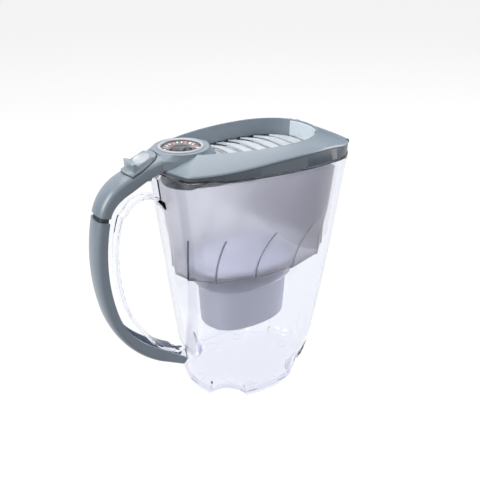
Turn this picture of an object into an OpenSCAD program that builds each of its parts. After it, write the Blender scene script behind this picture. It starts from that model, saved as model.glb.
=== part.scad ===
// Water filter pitcher with a louvred fill lid, a hinged spout flap and a drop-in oval cartridge.
// Millimetres, +Z up, +X towards the spout, origin at the middle of the base on the table.

/* [Jug] */
// Height of the jug's rim along its sides
rim_z = 234.3; // [225:0.1:245]
// Extra height of the rim round the back
rim_rise = 2.2; // [0:0.1:3]
// Length of the base
base_l = 126; // [116:1:134]
// Width of the base
base_w = 107; // [100:1:112]
// Width of the rim
rim_w = 122; // [119:0.5:126]
// Distance from the base's middle to the front of the rim
front_x = 103; // [100:0.5:106]
// Distance from the base's middle to the back of the rim
back_x = 88; // [87:0.25:89]
// Thickness of the jug's wall
jug_wall = 2.6; // [2:0.1:3.2]
// Thickness of the jug's floor
jug_floor = 4.5; // [3:0.1:8]
// Depth of the four scallops round the foot
scallop_d = 10; // [2:0.5:11]
// Height to which the scallops run
scallop_h = 34; // [24:1:60]
// Diameter of the six dimples under the base
dimple_d = 11; // [6:0.5:13]

/* [Handle] */
// Width of the handle
grip_w = 24; // [20:0.5:26]
// Wall of the handle's two shells
grip_wall = 2.2; // [1.6:0.1:2.6]
// Depth of the grip's side walls
grip_depth = 10.5; // [8:0.5:13]
// Gap between the two halves of the handle
seam_gap = 1.2; // [0.6:0.1:2]
// Thickness of the clear web inside the handle
web_t = 4; // [3:0.2:6]
// Width of the clear rail that the fingers hold
rail_w = 17; // [12:0.5:18.5]
// Thickness of the clear rail
rail_t = 3; // [2:0.2:4]

/* [Lid] */
// Height of the crest round the fill well
crest_z = 254; // [252:0.25:256]
// Wall of the lid
lid_wall = 2.2; // [1.8:0.1:2.6]
// Half width of the fill well
well_w = 42.7; // [40:0.1:43.5]
// Front end of the fill well
well_front = 74; // [72:0.25:76]
// Spacing of the louvre slats
slat_pitch = 13.8; // [13:0.1:14]
// Thickness of a slat
slat_t = 1.7; // [1.4:0.1:1.8]
// Height of the slats' pivots
pivot_z = 234.8; // [234.4:0.1:235.2]
// Radius of the slats' pivot pins
pivot_r = 1.1; // [0.9:0.05:1.3]
// Angle that the slats turn through
slat_swing = 55; // [40:1:60]
// Length of the spout flap, hinge to tip
flap_l = 13.4; // [11:0.1:14]

/* [Counter] */
// Outer radius of the counter's bright ring
counter_r = 19; // [17:0.25:20]
// Number of teeth on the counter's ratchet wheel
ratchet_teeth = 36; // [24:1:48]

/* [Funnel and cartridge] */
// Wall of the funnel
funnel_wall = 1.6; // [1.2:0.1:2]
// Height of the funnel's lower edge
funnel_low = 131; // [126:0.5:136]
// Half length of the cartridge
cart_a = 47.5; // [42:0.5:48.5]
// Half width of the cartridge
cart_b = 32.5; // [29:0.5:33.5]
// Height of the cartridge's underside
cart_low = 64; // [56:1:76]

/* [Hidden] */
$fn = 48;
gap = 0.3;       // between pieces that move or lift apart
fit = 0.06;      // radial clearance of a pin in its bearing
slats = 7;

slate = "slategray";
clear = [0.86, 0.9, 0.95, 0.35];
milky = [0.86, 0.88, 0.9];

// Numbers of steps from the front to the widest point, on to the back corner, and round the back
steps_f = 14;
steps_s = 12;
steps_r = 6;
half_n = steps_f + steps_s + steps_r;
ring_n = 2 * half_n;

function mix(a, b, t) = a + (b - a) * t;
function ramp(x, x0, x1) = let (t = max(0, min(1, (x - x0) / (x1 - x0)))) t * t * (3 - 2 * t);

// One half of a plan outline: P = [front x, widest x, half width, corner x, corner y, back x, bluntness, side power]
function half_point(P, i) =
    i <= steps_f ?
        let (a = 90 * i / steps_f)
        [P[1] + (P[0] - P[1]) * pow(cos(a), 2 / P[6]), P[2] * pow(sin(a), 2 / P[6])]
    : i <= steps_f + steps_s ?
        let (s = (i - steps_f) / steps_s)
        [mix(P[1], P[3], s), P[2] - (P[2] - P[4]) * pow(s, P[7])]
    :
        let (s = (i - steps_f - steps_s) / steps_r)
        [mix(P[3], P[5], 1 - (1 - s) * (1 - s)), P[4] * (1 - s)];
function plan(P) = [for (i = [0 : ring_n - 1])
    i <= half_n ? half_point(P, i) : let (p = half_point(P, ring_n - i)) [p[0], -p[1]]];

// Moves every point of an anticlockwise outline inwards along its own normal
function inset(ps, d) = [for (i = [0 : len(ps) - 1])
    let (t = ps[(i + 1) % len(ps)] - ps[(i + len(ps) - 1) % len(ps)])
    ps[i] - d * [t[1], -t[0]] / norm(t)];
function lift(ps, z) = [for (p = ps) [p[0], p[1], z]];

// A solid skinned over rings of equal length; looped joins the last ring to the first, otherwise both ends are capped
module skin(rings, looped = false) {
    n = len(rings[0]);
    m = len(rings);
    last = looped ? m - 1 : m - 2;
    sides = [for (k = [0 : last], i = [0 : n - 1])
        let (a = k * n + i, b = k * n + (i + 1) % n, c = ((k + 1) % m) * n + (i + 1) % n, d = ((k + 1) % m) * n + i)
        each [[a, d, c], [a, c, b]]];
    flat = [for (r = rings) each r];
    mid = [for (r = [rings[0], rings[m - 1]]) [for (c = [0 : 2]) [for (p = r) p[c]] * [for (p = r) 1 / n]]];
    caps = looped ? [] : [for (i = [0 : n - 1])
        each [[n * m, i, (i + 1) % n], [n * m + 1, (m - 1) * n + (i + 1) % n, (m - 1) * n + i]]];
    polyhedron(concat(flat, looped ? [] : mid), concat(sides, caps));
}

// ---------------------------------------------------------------- jug outline

corner_low = [-47.5, 45];     // the back corner at the foot
corner_high = [-77.5, 42.4];  // and at the rim
scallop_at = [45, 135];       // polar angles of the scallops, mirrored to the other side
scallop_r = 22;               // each is an upright hollow cut by this radius

function jug_outline(t) = plan([
    mix(base_l / 2, front_x, pow(t, 0.48)), mix(2, 30, t), mix(base_w / 2, rim_w / 2, pow(t, 0.6)),
    mix(corner_low[0], corner_high[0], t), mix(corner_low[1], corner_high[1], t),
    mix(-base_l / 2, -back_x, pow(t, 0.9)), mix(1.8, 2.6, t), mix(2.14, 1.9, t)]);
// How far along the ray from the base's middle through p the hollow at angle a starts, when it is d deep
function hollow_at(p, a, d) = let (
    ray = atan2(abs(p[1]), p[0]), edge = norm(p), deep = 58 + scallop_r - d, off = deep * sin(ray - a))
    abs(ray - a) < 40 && abs(off) < scallop_r ? deep * cos(ray - a) - sqrt(scallop_r * scallop_r - off * off) : edge;
function scalloped(ps, z) = z >= scallop_h ? ps : [for (p = ps)
    let (d = scallop_d * pow(1 - z / scallop_h, 1.5))
    p * min(norm(p), hollow_at(p, scallop_at[0], d), hollow_at(p, scallop_at[1], d)) / norm(p)];
function jug_plan(z) = scalloped(jug_outline(z / rim_z), z);
rim_outline = jug_outline(1);
rim_back = [-50, -57];        // the rim rises between these two stations
function rim_at(p) = rim_z + rim_rise * ramp(p[0], rim_back[0], rim_back[1]);
function at_rim(ps, dz) = [for (i = [0 : len(ps) - 1]) [ps[i][0], ps[i][1], rim_at(rim_outline[i]) + dz]];

side_z = [6, 13, 22, 33, 47, 68, 95, 125, 160, 200];
function foot_ring(z, d) = lift(inset(jug_plan(z), d), z);

// ---------------------------------------------------------------- handle line

// The handle's back is a straight crown and a chain of tangent arcs in the XZ plane; a point on it is named by the
// angle of its normal and a straight run, which is negative along the crown
crown_l = 37;
heel_c = [-103.5, 198.4];
heel_r = 45;
back_r = 200;
belly_r = 111;
heel_a = 23.6;
seam_a = 75;
belly_a = 102.5;
tail_a = 148;
tail_l = 30;
function out(a) = [-sin(a), cos(a)];
back_c = heel_c + (heel_r - back_r) * out(seam_a);
belly_c = back_c + (back_r - belly_r) * out(belly_a);
// Point at angle a, n inside the back, and on by the straight run s
function spine(a, n, s = 0) =
    (a < seam_a ? heel_c + (heel_r - n) * out(a)
    : a < belly_a ? back_c + (back_r - n) * out(a)
    : belly_c + (belly_r - n) * out(a)) + s * [-cos(a), -sin(a)];

// Half of a channel's section as [share of half width, depth below the crown]
channel_half = [[0, 0], [0.4, 0.15], [0.68, 0.7], [0.86, 1.7], [0.96, 3.2], [1, 5.2], [1, 99]];
function channel_side(w, d, wall) = [for (p = channel_half)
    [p[0] * (w / 2 - wall), min(d, p[1] == 0 ? wall : p[1] + wall * (1 - p[0] * 0.6))]];
// Stations are [angle, straight run, width, depth of the side walls]
module channel(stations) {
    m = len(channel_half);
    rings = [for (s = stations)
        let (o = channel_side(s[2], s[3], 0), i = channel_side(s[2], s[3], grip_wall),
             outer = [for (k = [m - 1 : -1 : 1]) [-o[k][0], o[k][1]], each o],
             inner = [for (k = [m - 1 : -1 : 1]) [-i[k][0], i[k][1]], each i],
             loop = concat(outer, [for (k = [2 * m - 2 : -1 : 0]) inner[k]]))
        [for (p = loop) let (q = spine(s[0], p[1], s[1])) [q[0], p[0], q[1]]]];
    n = len(rings[0]);
    e = (len(rings) - 1) * n;
    sides = [for (k = [0 : len(rings) - 2], i = [0 : n - 1])
        let (a = k * n + i, b = k * n + (i + 1) % n, c = b + n, d = a + n) each [[a, d, c], [a, c, b]]];
    ends = [for (i = [0 : m * 2 - 3])
        let (a = i, b = i + 1, c = n - 2 - i, d = n - 1 - i)
        each [[a, b, c], [a, c, d], [e + a, e + c, e + b], [e + a, e + d, e + c]]];
    polyhedron([for (r = rings) each r], concat(sides, ends));
}

// ---------------------------------------------------------------- jug

arch_r = 18;                  // radius of the finger arch at the top of the clear rail
arch_root = -40;              // angle at which the arch meets the jug
rail_in_mid = 22;             // depth of the rail inside the handle's back along the grip
rail_in_low = 16;             // and at the tail
root_z = 203;
root_top = 229.4;
function rail_depth(a) = a < belly_a ? mix(heel_r - arch_r, rail_in_mid, ramp(a, 60, 85))
    : mix(rail_in_mid, rail_in_low, ramp(a, 120, tail_a));
function rail_line(extra) = [
    for (a = [arch_root : 12 : heel_a - 2]) heel_c + (arch_r + extra) * out(a),
    for (a = [heel_a : 7 : tail_a]) spine(a, rail_depth(a) - extra),
    spine(tail_a, rail_in_low - extra, 14)];
core_clear = grip_wall + 0.5;
core_top_a = 38;              // the web leaves the room under the crown to the slider

module handle_core() {
    inner = rail_line(0);
    rotate([90, 0, 0]) {
        translate([0, 0, -web_t / 2]) linear_extrude(web_t) polygon(concat(
            [[-85.5, root_z - 2]], inner, [[-base_l / 2 - 5, 46], [-base_l / 2 - 3.5, 30]],
            [spine(tail_a, core_clear + 1, tail_l - 10)],
            [for (a = [tail_a : -6 : core_top_a]) spine(a, core_clear)],
            [[-121, root_top], [-87.2, root_top]]));
        translate([0, 0, -rail_w / 2]) linear_extrude(rail_w) polygon(concat(
            [[-85.2, root_z - 2]], inner, [[-base_l / 2 - 8, 50]],
            [for (k = [len(inner) - 1 : -1 : 0]) rail_line(rail_t)[k]], [[-86.3, root_z + 6]]));
    }
}

module dimples() {
    for (p = [[52, 0], [17, 39], [17, -39], [-52, 0], [-17, 39], [-17, -39]])
        translate([p[0], p[1], -1]) cylinder(d = dimple_d, h = 2);
}

module jug_body() {
    color(clear) difference() {
        union() {
            skin(concat(
                [foot_ring(0, 1.2), foot_ring(0.7, 0.3), foot_ring(2.5, 0)],
                [for (z = side_z) foot_ring(z, 0)],
                [at_rim(rim_outline, -6), at_rim(rim_outline, -0.6), at_rim(inset(rim_outline, 0.6), 0)],
                [at_rim(inset(rim_outline, jug_wall), 0), at_rim(inset(rim_outline, jug_wall), -6)],
                [for (k = [len(side_z) - 1 : -1 : 1]) foot_ring(side_z[k], jug_wall)],
                [foot_ring(jug_floor + 3, jug_wall + 0.8), lift(inset(jug_plan(jug_floor), jug_wall + 4), jug_floor)]));
            handle_core();
        }
        dimples();
    }
}

grip_stations = concat(
    [for (a = [seam_a + 1 : 5 : tail_a]) [a, 0, grip_w, mix(grip_depth, 14, ramp(a, 112, 145))]],
    [for (s = [8 : 7 : tail_l]) [tail_a, s, mix(grip_w, 15, s / tail_l), mix(14, 9, s / tail_l)]]);
module handle_grip() { color(slate) channel(grip_stations); }

// ---------------------------------------------------------------- lid outlines

lid_front = 89;               // the lid stops here and the spout's mouth is open in front of it
lid_over = 1.8;               // lid edge above the jug's rim, with the funnel's flange between them
flange_t = 1.2;
function clip_front(ps) = [for (p = ps) [min(p[0], lid_front), p[1]]];
lid_outline = clip_front(rim_outline);
well_back = -66;
well_outline = plan([well_front, 18, well_w, -60, 25.5, well_back, 2.2, 2]);
function well_half(x) = x > 18 ? well_w * pow(1 - pow((x - 18) / (well_front - 18), 2.2), 1 / 2.2)
    : well_w - (well_w - 25.5) * pow((18 - x) / 78, 2);
// Height of the lid's outer top edge: low at the back corners, rising to the brow and dropping at the front
brow_low = 243;
brow_rise = 5.4;
brow_in = 3.7;                // the lid's sides lean in by this at their middle
function brow_at(p) = brow_low + brow_rise * ramp(p[0], -66, 42) - 2.4 * ramp(p[0], 52, 84);
// The lid's outline, d inside its edge and leaning in by a share of brow_in
function leaned(d, share) = let (near = inset(lid_outline, d), far = inset(lid_outline, d + brow_in * share))
    [for (i = [0 : ring_n - 1]) let (x = lid_outline[i][0]) mix(near[i], far[i], ramp(x, -70, 10) * (1 - ramp(x, 62, 86)))];
function brow(d, dz) = let (ps = leaned(d, 1)) [for (i = [0 : ring_n - 1]) [ps[i][0], ps[i][1], brow_at(lid_outline[i]) + dz]];
well_low = 237.3;             // lower end of the lid's well wall
platform = [-63.5, 0];        // the counter's middle
platform_r = 24.5;
platform_z = crest_z + 1;
prow = [-38, -27];            // the platform's prow at its top and at the slats
counter_floor = platform_z - 7.8;
pod_under = counter_floor - 1.2;

neck_w = 34;                  // the handle flares to this width where it meets the platform
lid_stations = concat(
    [for (s = [crown_l : -4 : 1])
        [heel_a, -s, mix(grip_w, neck_w, pow(ramp(s, 12, crown_l), 1.4)), mix(13.4, 11.2, s / crown_l)]],
    [for (a = [heel_a : 5 : seam_a - 4]) [a, 0, grip_w, mix(13.4, grip_depth, ramp(a, heel_a, 70))]]);
// The platform's own flare, at its foot and at its top
neck_foot = [[-88.6, 16.8], [-84, 19.6], [-78, 21.8], [-72, 22.6]];
neck_top = [[-88.6, 8], [-85, 13], [-79, 18.5], [-72, 21]];
seam_end = seam_a - seam_gap / heel_r * 57.3;

module pod() {
    hull() {
        translate([platform[0], 0, pod_under]) cylinder(r = platform_r, h = platform_z - pod_under);
        translate([prow[0] - 2, 0, pod_under]) cylinder(r = 2, h = platform_z - pod_under, $fn = 16);
        translate([prow[1] - 3, 0, tray_top]) cylinder(r = 3, h = 1, $fn = 16);
        translate([platform[0], 0, tray_top]) cylinder(r = platform_r + 2, h = 1);
    }
}

function both(ps) = concat(ps, [for (i = [len(ps) - 1 : -1 : 0]) [ps[i][0], -ps[i][1]]]);
module neck() {
    hull() {
        translate([0, 0, brow_low]) linear_extrude(7.4) polygon(both(neck_foot));
        translate([0, 0, platform_z - 0.8]) linear_extrude(0.8) polygon(both(neck_top));
    }
}

module lid_shell() {
    inner_wall = inset(well_outline, -lid_wall);
    color(slate) difference() {
        union() {
            skin([
                at_rim(lid_outline, lid_over), brow(0, -1.2), brow(0.9, 0),
                lift(inset(well_outline, -1.5), crest_z - 0.6), lift(inset(well_outline, -0.6), crest_z),
                lift(well_outline, crest_z - 0.8), lift(well_outline, well_low),
                lift(inner_wall, well_low), lift(inset(well_outline, -lid_wall - 0.4), crest_z - 3.4),
                brow(lid_wall + 0.6, -lid_wall), at_rim(inset(lid_outline, lid_wall), lid_over)],
                looped = true);
            pod();
            neck();
            channel(concat(lid_stations, [[seam_end, 0, grip_w, grip_depth]]));
            flap_ears();
        }
        translate([platform[0], 0, counter_floor]) cylinder(r = counter_r + gap, h = 20);
        pod_hollow();
        bar_window();
        slider_window();
        first_slat_room();
        flap_pin_bores();
    }
}
// The first slat's rear edge swings up in front of the prow
module first_slat_room() {
    h = slat_chord / 2 * sin(slat_lean) + slat_rise(1) + slat_t;
    translate([pivot_x(1), 0, pivot_z]) rotate([90, 0, 0])
        cylinder(r = norm([slat_reach, h]) + gap, h = 2 * slat_span(1), center = true);
}

// Room under the counter for the bar
module pod_hollow() {
    translate([-88, -4, 230]) cube([50, 8, counter_floor - 1.5 - 230]);
    translate([platform[0], 0, 230]) cylinder(r = platform_r - 3, h = counter_floor - 1.5 - 230);
}
module bar_window() { translate([-96, -4, 236]) cube([20, 8, 8.6]); }
module slider_window() {
    x0 = slider_pin[0] - bar_travel - stem_w / 2 - 1;
    translate([x0, -4, 236]) cube([slider_pin[0] + stem_w / 2 + 0.4 - x0, 8, 20]);
}

// ---------------------------------------------------------------- lid tray with the slats' bearings

tray_t = 2;
tray_top = 240.5;
rail_out = 4.6;               // outer face of the bearing rail, from the well's outline
rail_low = 229.5;
slat_rear = 51;               // rear edge of the foremost slat
slat_lean = 11;               // closed slats slope down to the front and tuck under the next
slat_chord = slat_pitch + 3.4;
slat_reach = slat_chord / 2 * cos(slat_lean);
slat_crown_r = 170;           // slats are crowned across the well
slat_clear = 0.45;            // between a slat's end and the well's wall, at every angle
function pivot_x(k) = slat_rear + slat_reach - slat_pitch * (slats - k);
// Half width of slat k at the share c of its reach, narrow enough for the whole swing
function slat_end(k, c) = let (x = pivot_x(k), turned = slat_chord / 2 * c * cos(slat_lean + slat_swing) + slat_t)
    min(well_half(x + c * slat_reach), well_half(x + turned)) - slat_clear;
slat_cuts = [-1, -0.5, 0, 0.5, 1];
function slat_span(k) = max([for (c = slat_cuts) slat_end(k, c)]);
// Height of a slat's middle over its pivots
function slat_rise(k) = 2.6 + 0.45 * pow(well_half(pivot_x(k) - slat_reach), 2) / slat_crown_r / 2;
pin_l = 2.2;                  // how far a pin runs into its bearing

module tray_bearing(k) {
    y0 = slat_span(k) + gap;
    y1 = well_half(pivot_x(k)) + rail_out - 0.2;
    for (s = [-1, 1])
        translate([pivot_x(k) - 3, s > 0 ? y0 : -y1, rail_low]) cube([6, y1 - y0, well_low - 0.05 - rail_low]);
}

module lid_tray() {
    color("dimgray") difference() {
        union() {
            translate([0, 0, tray_top - tray_t]) linear_extrude(tray_t) difference() {
                polygon(leaned(lid_wall + 0.8, 0.55));
                polygon(inset(well_outline, -lid_wall - gap));
            }
            translate([0, 0, rail_low]) linear_extrude(tray_top - rail_low) difference() {
                polygon(inset(well_outline, -rail_out));
                polygon(inset(well_outline, -lid_wall - gap));
            }
            for (k = [1 : slats]) tray_bearing(k);
            corner_tongues();
        }
        for (k = [1 : slats]) translate([pivot_x(k), 0, pivot_z]) rotate([90, 0, 0])
            cylinder(r = pivot_r + fit, h = 2 * (slat_span(k) + gap + pin_l + 0.2), center = true);
        translate([-100, -5, 200]) cube([50, 10, 60]);
    }
}

// Two tongues that centre the lid in the funnel's back corners
tongue_low = 230;
module corner_tongues() {
    band = funnel_ring(rim_z, funnel_wall + gap + 0.2);
    thin = funnel_ring(rim_z, funnel_wall + gap + 2.2);
    for (s = [0, 1]) mirror([0, s, 0])
        translate([0, 0, tongue_low]) linear_extrude(tray_top - tongue_low)
            polygon(concat([for (i = [22 : 29]) [band[i][0], band[i][1]]],
                [for (i = [29 : -1 : 22]) [thin[i][0], thin[i][1]]]));
}

// ---------------------------------------------------------------- spout flap

hinge_x = 91.2;
hinge_z = 243.2;
hinge_r = 1.3;
flap_half = 36;
flap_tilt = 16;
flap_t = 2;
ear_w = 3;
module flap_ears() {
    for (s = [-1, 1]) translate([hinge_x, s * (flap_half + gap + ear_w / 2), hinge_z]) rotate([90, 0, 0])
        cylinder(r = 2.6, h = ear_w, center = true);
    for (s = [-1, 1]) translate([lid_front - lid_wall, s * (flap_half + gap + ear_w / 2) - ear_w / 2, hinge_z - 2.6])
        cube([hinge_x - lid_front + lid_wall, ear_w, 5.2]);
}
module flap_pin_bores() {
    translate([hinge_x, 0, hinge_z]) rotate([90, 0, 0]) cylinder(r = hinge_r + fit, h = 100, center = true);
}
function flap_edge(d) = [for (i = [ring_n - steps_f : ring_n + steps_f]) let (p = rim_outline[i % ring_n])
    if (abs(p[1]) < flap_half - d) [min(p[0] - front_x, 0) + flap_l - d, p[1]]];
module flap_blade(d, h, z) {
    edge = flap_edge(d);
    translate([0, 0, z]) linear_extrude(h)
        polygon(concat([[0, -flap_half + d]], edge, [[0, flap_half - d]]));
}
module spout_flap() {
    color(slate) translate([hinge_x, 0, hinge_z]) {
        rotate([0, flap_tilt, 0]) {
            flap_blade(0, flap_t, -flap_t / 2);
            difference() {
                flap_blade(1, 3.4, -3.4);
                flap_blade(2.6, 10, -8);
            }
        }
        rotate([90, 0, 0]) cylinder(r = 2, h = 2 * flap_half, center = true);
        rotate([90, 0, 0]) cylinder(r = hinge_r, h = 2 * (flap_half + gap + ear_w - 0.2), center = true);
    }
}

// ---------------------------------------------------------------- shutter

crank_r = 11;
crank_pin_r = 1;
crank_a = slat_swing / 2;     // the crank swings the same way each side of plumb
bar_t = 2.6;
lug_t = 1.3;
bar_low = pivot_z - 14.6;
bar_high = bar_low + 7.4;
bar_travel = 2 * crank_r * sin(crank_a);
slot_play = 0.28;

// A slat's section, swept over an arc about a line along X, so that it is crowned across the well
module slat_blade(half) {
    span = asin(half / slat_crown_r);
    rotate([0, 90, 0]) rotate([0, 0, 180 - span])
        rotate_extrude(angle = 2 * span, $fn = 240) slat_section();
}
module slat_section() {
    c = slat_chord / 2;
    translate([slat_crown_r, 0]) rotate([0, 0, slat_lean])
        polygon([[-slat_t / 2, -c], [slat_t / 2, -c], [slat_t / 2, c - 2], [0, c], [-slat_t / 2, c - 1]]);
}

module slat(k) {
    half = slat_end(k, 0);
    ends = [for (c = slat_cuts) [c * (slat_reach + 2), slat_end(k, c)]];
    color([0.9, 0.91, 0.93]) translate([pivot_x(k), 0, pivot_z]) {
        intersection() {
            translate([0, 0, slat_rise(k) - slat_crown_r]) slat_blade(half + 2);
            translate([0, 0, -20]) linear_extrude(40)
                polygon(concat(ends, [for (i = [len(ends) - 1 : -1 : 0]) [ends[i][0], -ends[i][1]]]));
        }
        for (s = [-1, 1]) {
            translate([0, s * (half - 1), 0]) rotate([s * -90, 0, 0])
                cylinder(r = pivot_r, h = slat_span(k) + gap + pin_l - half + 1);
            slat_lug(s * (bar_t / 2 + gap + lug_t / 2), slat_rise(k));
        }
        rotate([0, -crank_a, 0]) translate([0, 0, -crank_r]) rotate([90, 0, 0])
            cylinder(r = crank_pin_r, h = bar_t + 2 * gap + 2 * lug_t, center = true);
    }
}
module slat_lug(y, top) {
    translate([0, y, 0]) rotate([90, 0, 0]) linear_extrude(lug_t, center = true) {
        e = crank_r * [sin(crank_a), -cos(crank_a)];
        side = 1.9 * [cos(crank_a), sin(crank_a)];
        polygon([[-4, top + 4 * tan(slat_lean)], e - side, e + side, [4, top - 4 * tan(slat_lean)]]);
        translate(e) circle(r = 1.9);
    }
}
module shutter_slat_1() slat(1);
module shutter_slat_2() slat(2);
module shutter_slat_3() slat(3);
module shutter_slat_4() slat(4);
module shutter_slat_5() slat(5);
module shutter_slat_6() slat(6);
module shutter_slat_7() slat(7);

// A slot in the bar for a pin that also rises from z0 to z1 on its way
module upright_slot(x, z0, z1, pin_r) {
    r = pin_r + slot_play;
    for (z = [z0 - slot_play, z1 + slot_play]) translate([x, z]) circle(r = r);
    translate([x - r, z0 - slot_play]) square([2 * r, z1 - z0 + 2 * slot_play]);
}

slider_pin_r = 1.1;
slider_drop = bar_travel * tan(heel_a);  // the pin drops by this as the slider goes back along the crown
slider_pin = [-103.2, 237];
stem_w = 2.8;                 // the slider's stem along the handle
stem_h = 13.5;
limb_x = [-66, -58];
bar_over_z = [239.4, 242.6];  // the bar's arm passes over the rim between these heights
module shutter_bar() {
    pin_x = crank_r * sin(crank_a);
    pin_z = pivot_z - crank_r * cos(crank_a);
    color([0.8, 0.82, 0.85]) rotate([90, 0, 0]) linear_extrude(bar_t, center = true) difference() {
        union() {
            translate([limb_x[0], bar_low]) square([pivot_x(slats) + pin_x + 4 - limb_x[0], bar_high - bar_low]);
            translate([limb_x[0], bar_low]) square([limb_x[1] - limb_x[0], bar_over_z[1] - bar_low]);
            translate([-97, bar_over_z[0]]) square([limb_x[1] + 97, bar_over_z[1] - bar_over_z[0]]);
            translate([slider_pin[0] - 2.4, slider_pin[1] - slider_drop - 2.6])
                square([-93 - slider_pin[0] + 2.4, slider_drop + 5]);
            translate([-97, slider_pin[1]]) square([4, bar_over_z[1] - slider_pin[1]]);
        }
        for (k = [1 : slats]) upright_slot(pivot_x(k) + pin_x, pin_z - crank_r * (1 - cos(crank_a)), pin_z, crank_pin_r);
        upright_slot(slider_pin[0], slider_pin[1] - slider_drop, slider_pin[1], slider_pin_r);
    }
}

// ---------------------------------------------------------------- thumb slider

slider_over = 0.35;           // gap between the slider's plate and the handle's crown
slider_plate = 1.5;
slider_s = [6, 35];           // the plate's ends as runs along the crown
slider_w = 20;
thumb_lip = [-113.8, 250.8];  // top of the rear lip
thumb_brow = [-95.5, 256.6];  // top of the wall ahead of the thumb
scoop = [-104.6, 0, 269];   // the thumb's hollow is part of a sphere
scoop_r = 20;
function crown(s, n) = spine(heel_a, -n, -s);
module slider_slab(w, low, high) {
    rotate([90, 0, 0]) linear_extrude(w, center = true) polygon(concat(low, high));
}
module thumb_slider() {
    color("lightslategray") {
        difference() {
            union() {
                slider_slab(slider_w, [for (s = slider_s) crown(s, slider_over)],
                    [for (s = [slider_s[1] - 0.6, slider_s[0] + 0.8]) crown(s, slider_over + slider_plate)]);
                slider_slab(slider_w - 1, [for (s = [slider_s[0] + 1.4, slider_s[1] - 3.4]) crown(s, slider_over + 0.5)],
                    [crown(slider_s[1] - 3.4, 3.2), thumb_brow + [1.6, -0.5], thumb_brow, thumb_lip + [1.4, 0.2],
                     thumb_lip, thumb_lip - [1.2, 1.6]]);
            }
            translate(scoop) sphere(r = scoop_r, $fn = 96);
        }
        for (s = [-1, 1])
            translate([slider_pin[0] - stem_w / 2, s * (bar_t / 2 + gap + 0.8) - 0.8, slider_pin[1] - 1.8])
                cube([stem_w, 1.6, stem_h]);
        translate([slider_pin[0], 0, slider_pin[1]]) rotate([90, 0, 0])
            cylinder(r = slider_pin_r, h = bar_t + 2 * gap + 3.2, center = true);
    }
}

// ---------------------------------------------------------------- front screen of the well

screen_t = 1.4;
module well_front_screen() {
    outer = inset(well_outline, gap);
    inner = inset(well_outline, gap + screen_t);
    color([0.9, 0.91, 0.93]) translate([0, 0, well_low + 0.5]) linear_extrude(crest_z - 2 - well_low)
        polygon(concat(
            [for (i = [ring_n - 4 : ring_n + 4]) outer[i % ring_n]],
            [for (i = [ring_n + 4 : -1 : ring_n - 4]) inner[i % ring_n]]));
    // A sill closes the well ahead of the foremost slat
    color([0.9, 0.91, 0.93]) translate([0, 0, well_low - 0.5]) linear_extrude(1.4)
        polygon([for (p = outer) if (p[0] > pivot_x(slats) + slat_reach + 1) p]);
}

// ---------------------------------------------------------------- counter

ring_t = 1.6;
dial_z = counter_floor + 2.9;
module at_counter(z) { translate([platform[0], 0, z]) children(); }
module tube(r1, r0, h) { difference() { cylinder(r = r1, h = h); translate([0, 0, -1]) cylinder(r = r0, h = h + 2); } }

module counter_cup() {
    color("gray") at_counter(counter_floor + 0.05) {
        tube(counter_r, counter_r - 1.4, 7.4);
        cylinder(r = counter_r - 0.5, h = 1.2);
        cylinder(r = 1.5, h = 4.6);
    }
}
module counter_scale() {
    color("white") at_counter(dial_z + 1.7) difference() {
        tube(counter_r - 1.7, 9.4, 0.8);
        for (i = [0 : 11]) rotate(30 * i) translate([counter_r - 3.6, -0.35, 0.4]) cube([1.4, 0.7, 1]);
    }
}
module counter_pointer() {
    color("black") at_counter(dial_z + 0.6) {
        difference() {
            cylinder(r = 9, h = 1.2);
            translate([0, 0, -1]) cylinder(r = 1.5 + fit, h = 5);
            rotate(28) translate([2.6, -0.6, 0.7]) cube([5.8, 1.2, 1]);
        }
    }
}
module counter_ratchet() {
    r = 13;
    color("whitesmoke") at_counter(counter_floor + 1.6) difference() {
        linear_extrude(1.6) polygon([for (i = [0 : ratchet_teeth - 1], s = [0, 1])
            let (a = 360 / ratchet_teeth * (i + (s == 1 ? 0.9 : 0))) (s == 1 ? r : r - 1.1) * [cos(a), sin(a)]]);
        translate([0, 0, -1]) cylinder(r = 1.5 + fit, h = 5);
    }
}
module counter_click_spring() {
    color("orangered") at_counter(counter_floor + 1.6) {
        translate([-counter_r + 2.4, -5, 0]) cube([3, 3, 1.4]);
        translate([-counter_r + 3.9, -4.5, 0]) rotate(-6) cube([0.7, 8.6, 1.4]);
    }
}
module counter_lens() {
    h = 1.9;
    lens_r = counter_r - 1.7;
    dome_r = (lens_r * lens_r + h * h) / (2 * h);
    dome_a = asin(lens_r / dome_r);
    color(clear) at_counter(platform_z - 0.4) rotate_extrude($fn = 96) polygon(concat([[0, 0]],
        [for (k = [8 : -1 : 0]) let (a = dome_a * k / 8) [dome_r * sin(a), h - dome_r + dome_r * cos(a)]]));
}
module counter_ring() {
    color("gainsboro") at_counter(0) rotate_extrude($fn = 96) polygon([
        [counter_r - 1.6, platform_z - 0.2], [counter_r, platform_z - 0.2], [counter_r + 0.2, platform_z + 0.05],
        [counter_r + 0.9, platform_z + 0.05], [counter_r + 0.9, platform_z + 0.6], [counter_r + 0.2, platform_z + 1.2],
        [counter_r - 0.9, platform_z + 1.2], [counter_r - 1.6, platform_z + 0.6]]);
}

// ---------------------------------------------------------------- funnel

fold_z = 176;                 // the skirt's folds die out at this height
fold_at = [0, 4, 8, 13, 19, 25, 29, 32];  // steps round half the outline at which the folds start
fold_lean = 2.6;              // steps that a fold leans forward on its way up
fold_out = 1.4;
cart_x = -0.5;                  // the cartridge's middle
collar_low = 113;
collar_t = 1.8;
mouth_a = cart_a + 1.6;
mouth_b = cart_b + 1.6;
function blunt(v) = sign(v) * pow(abs(v), 0.86);
function oval_point(a, b, q) = [cart_x + a * blunt(cos(q)), b * blunt(sin(q))];
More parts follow.
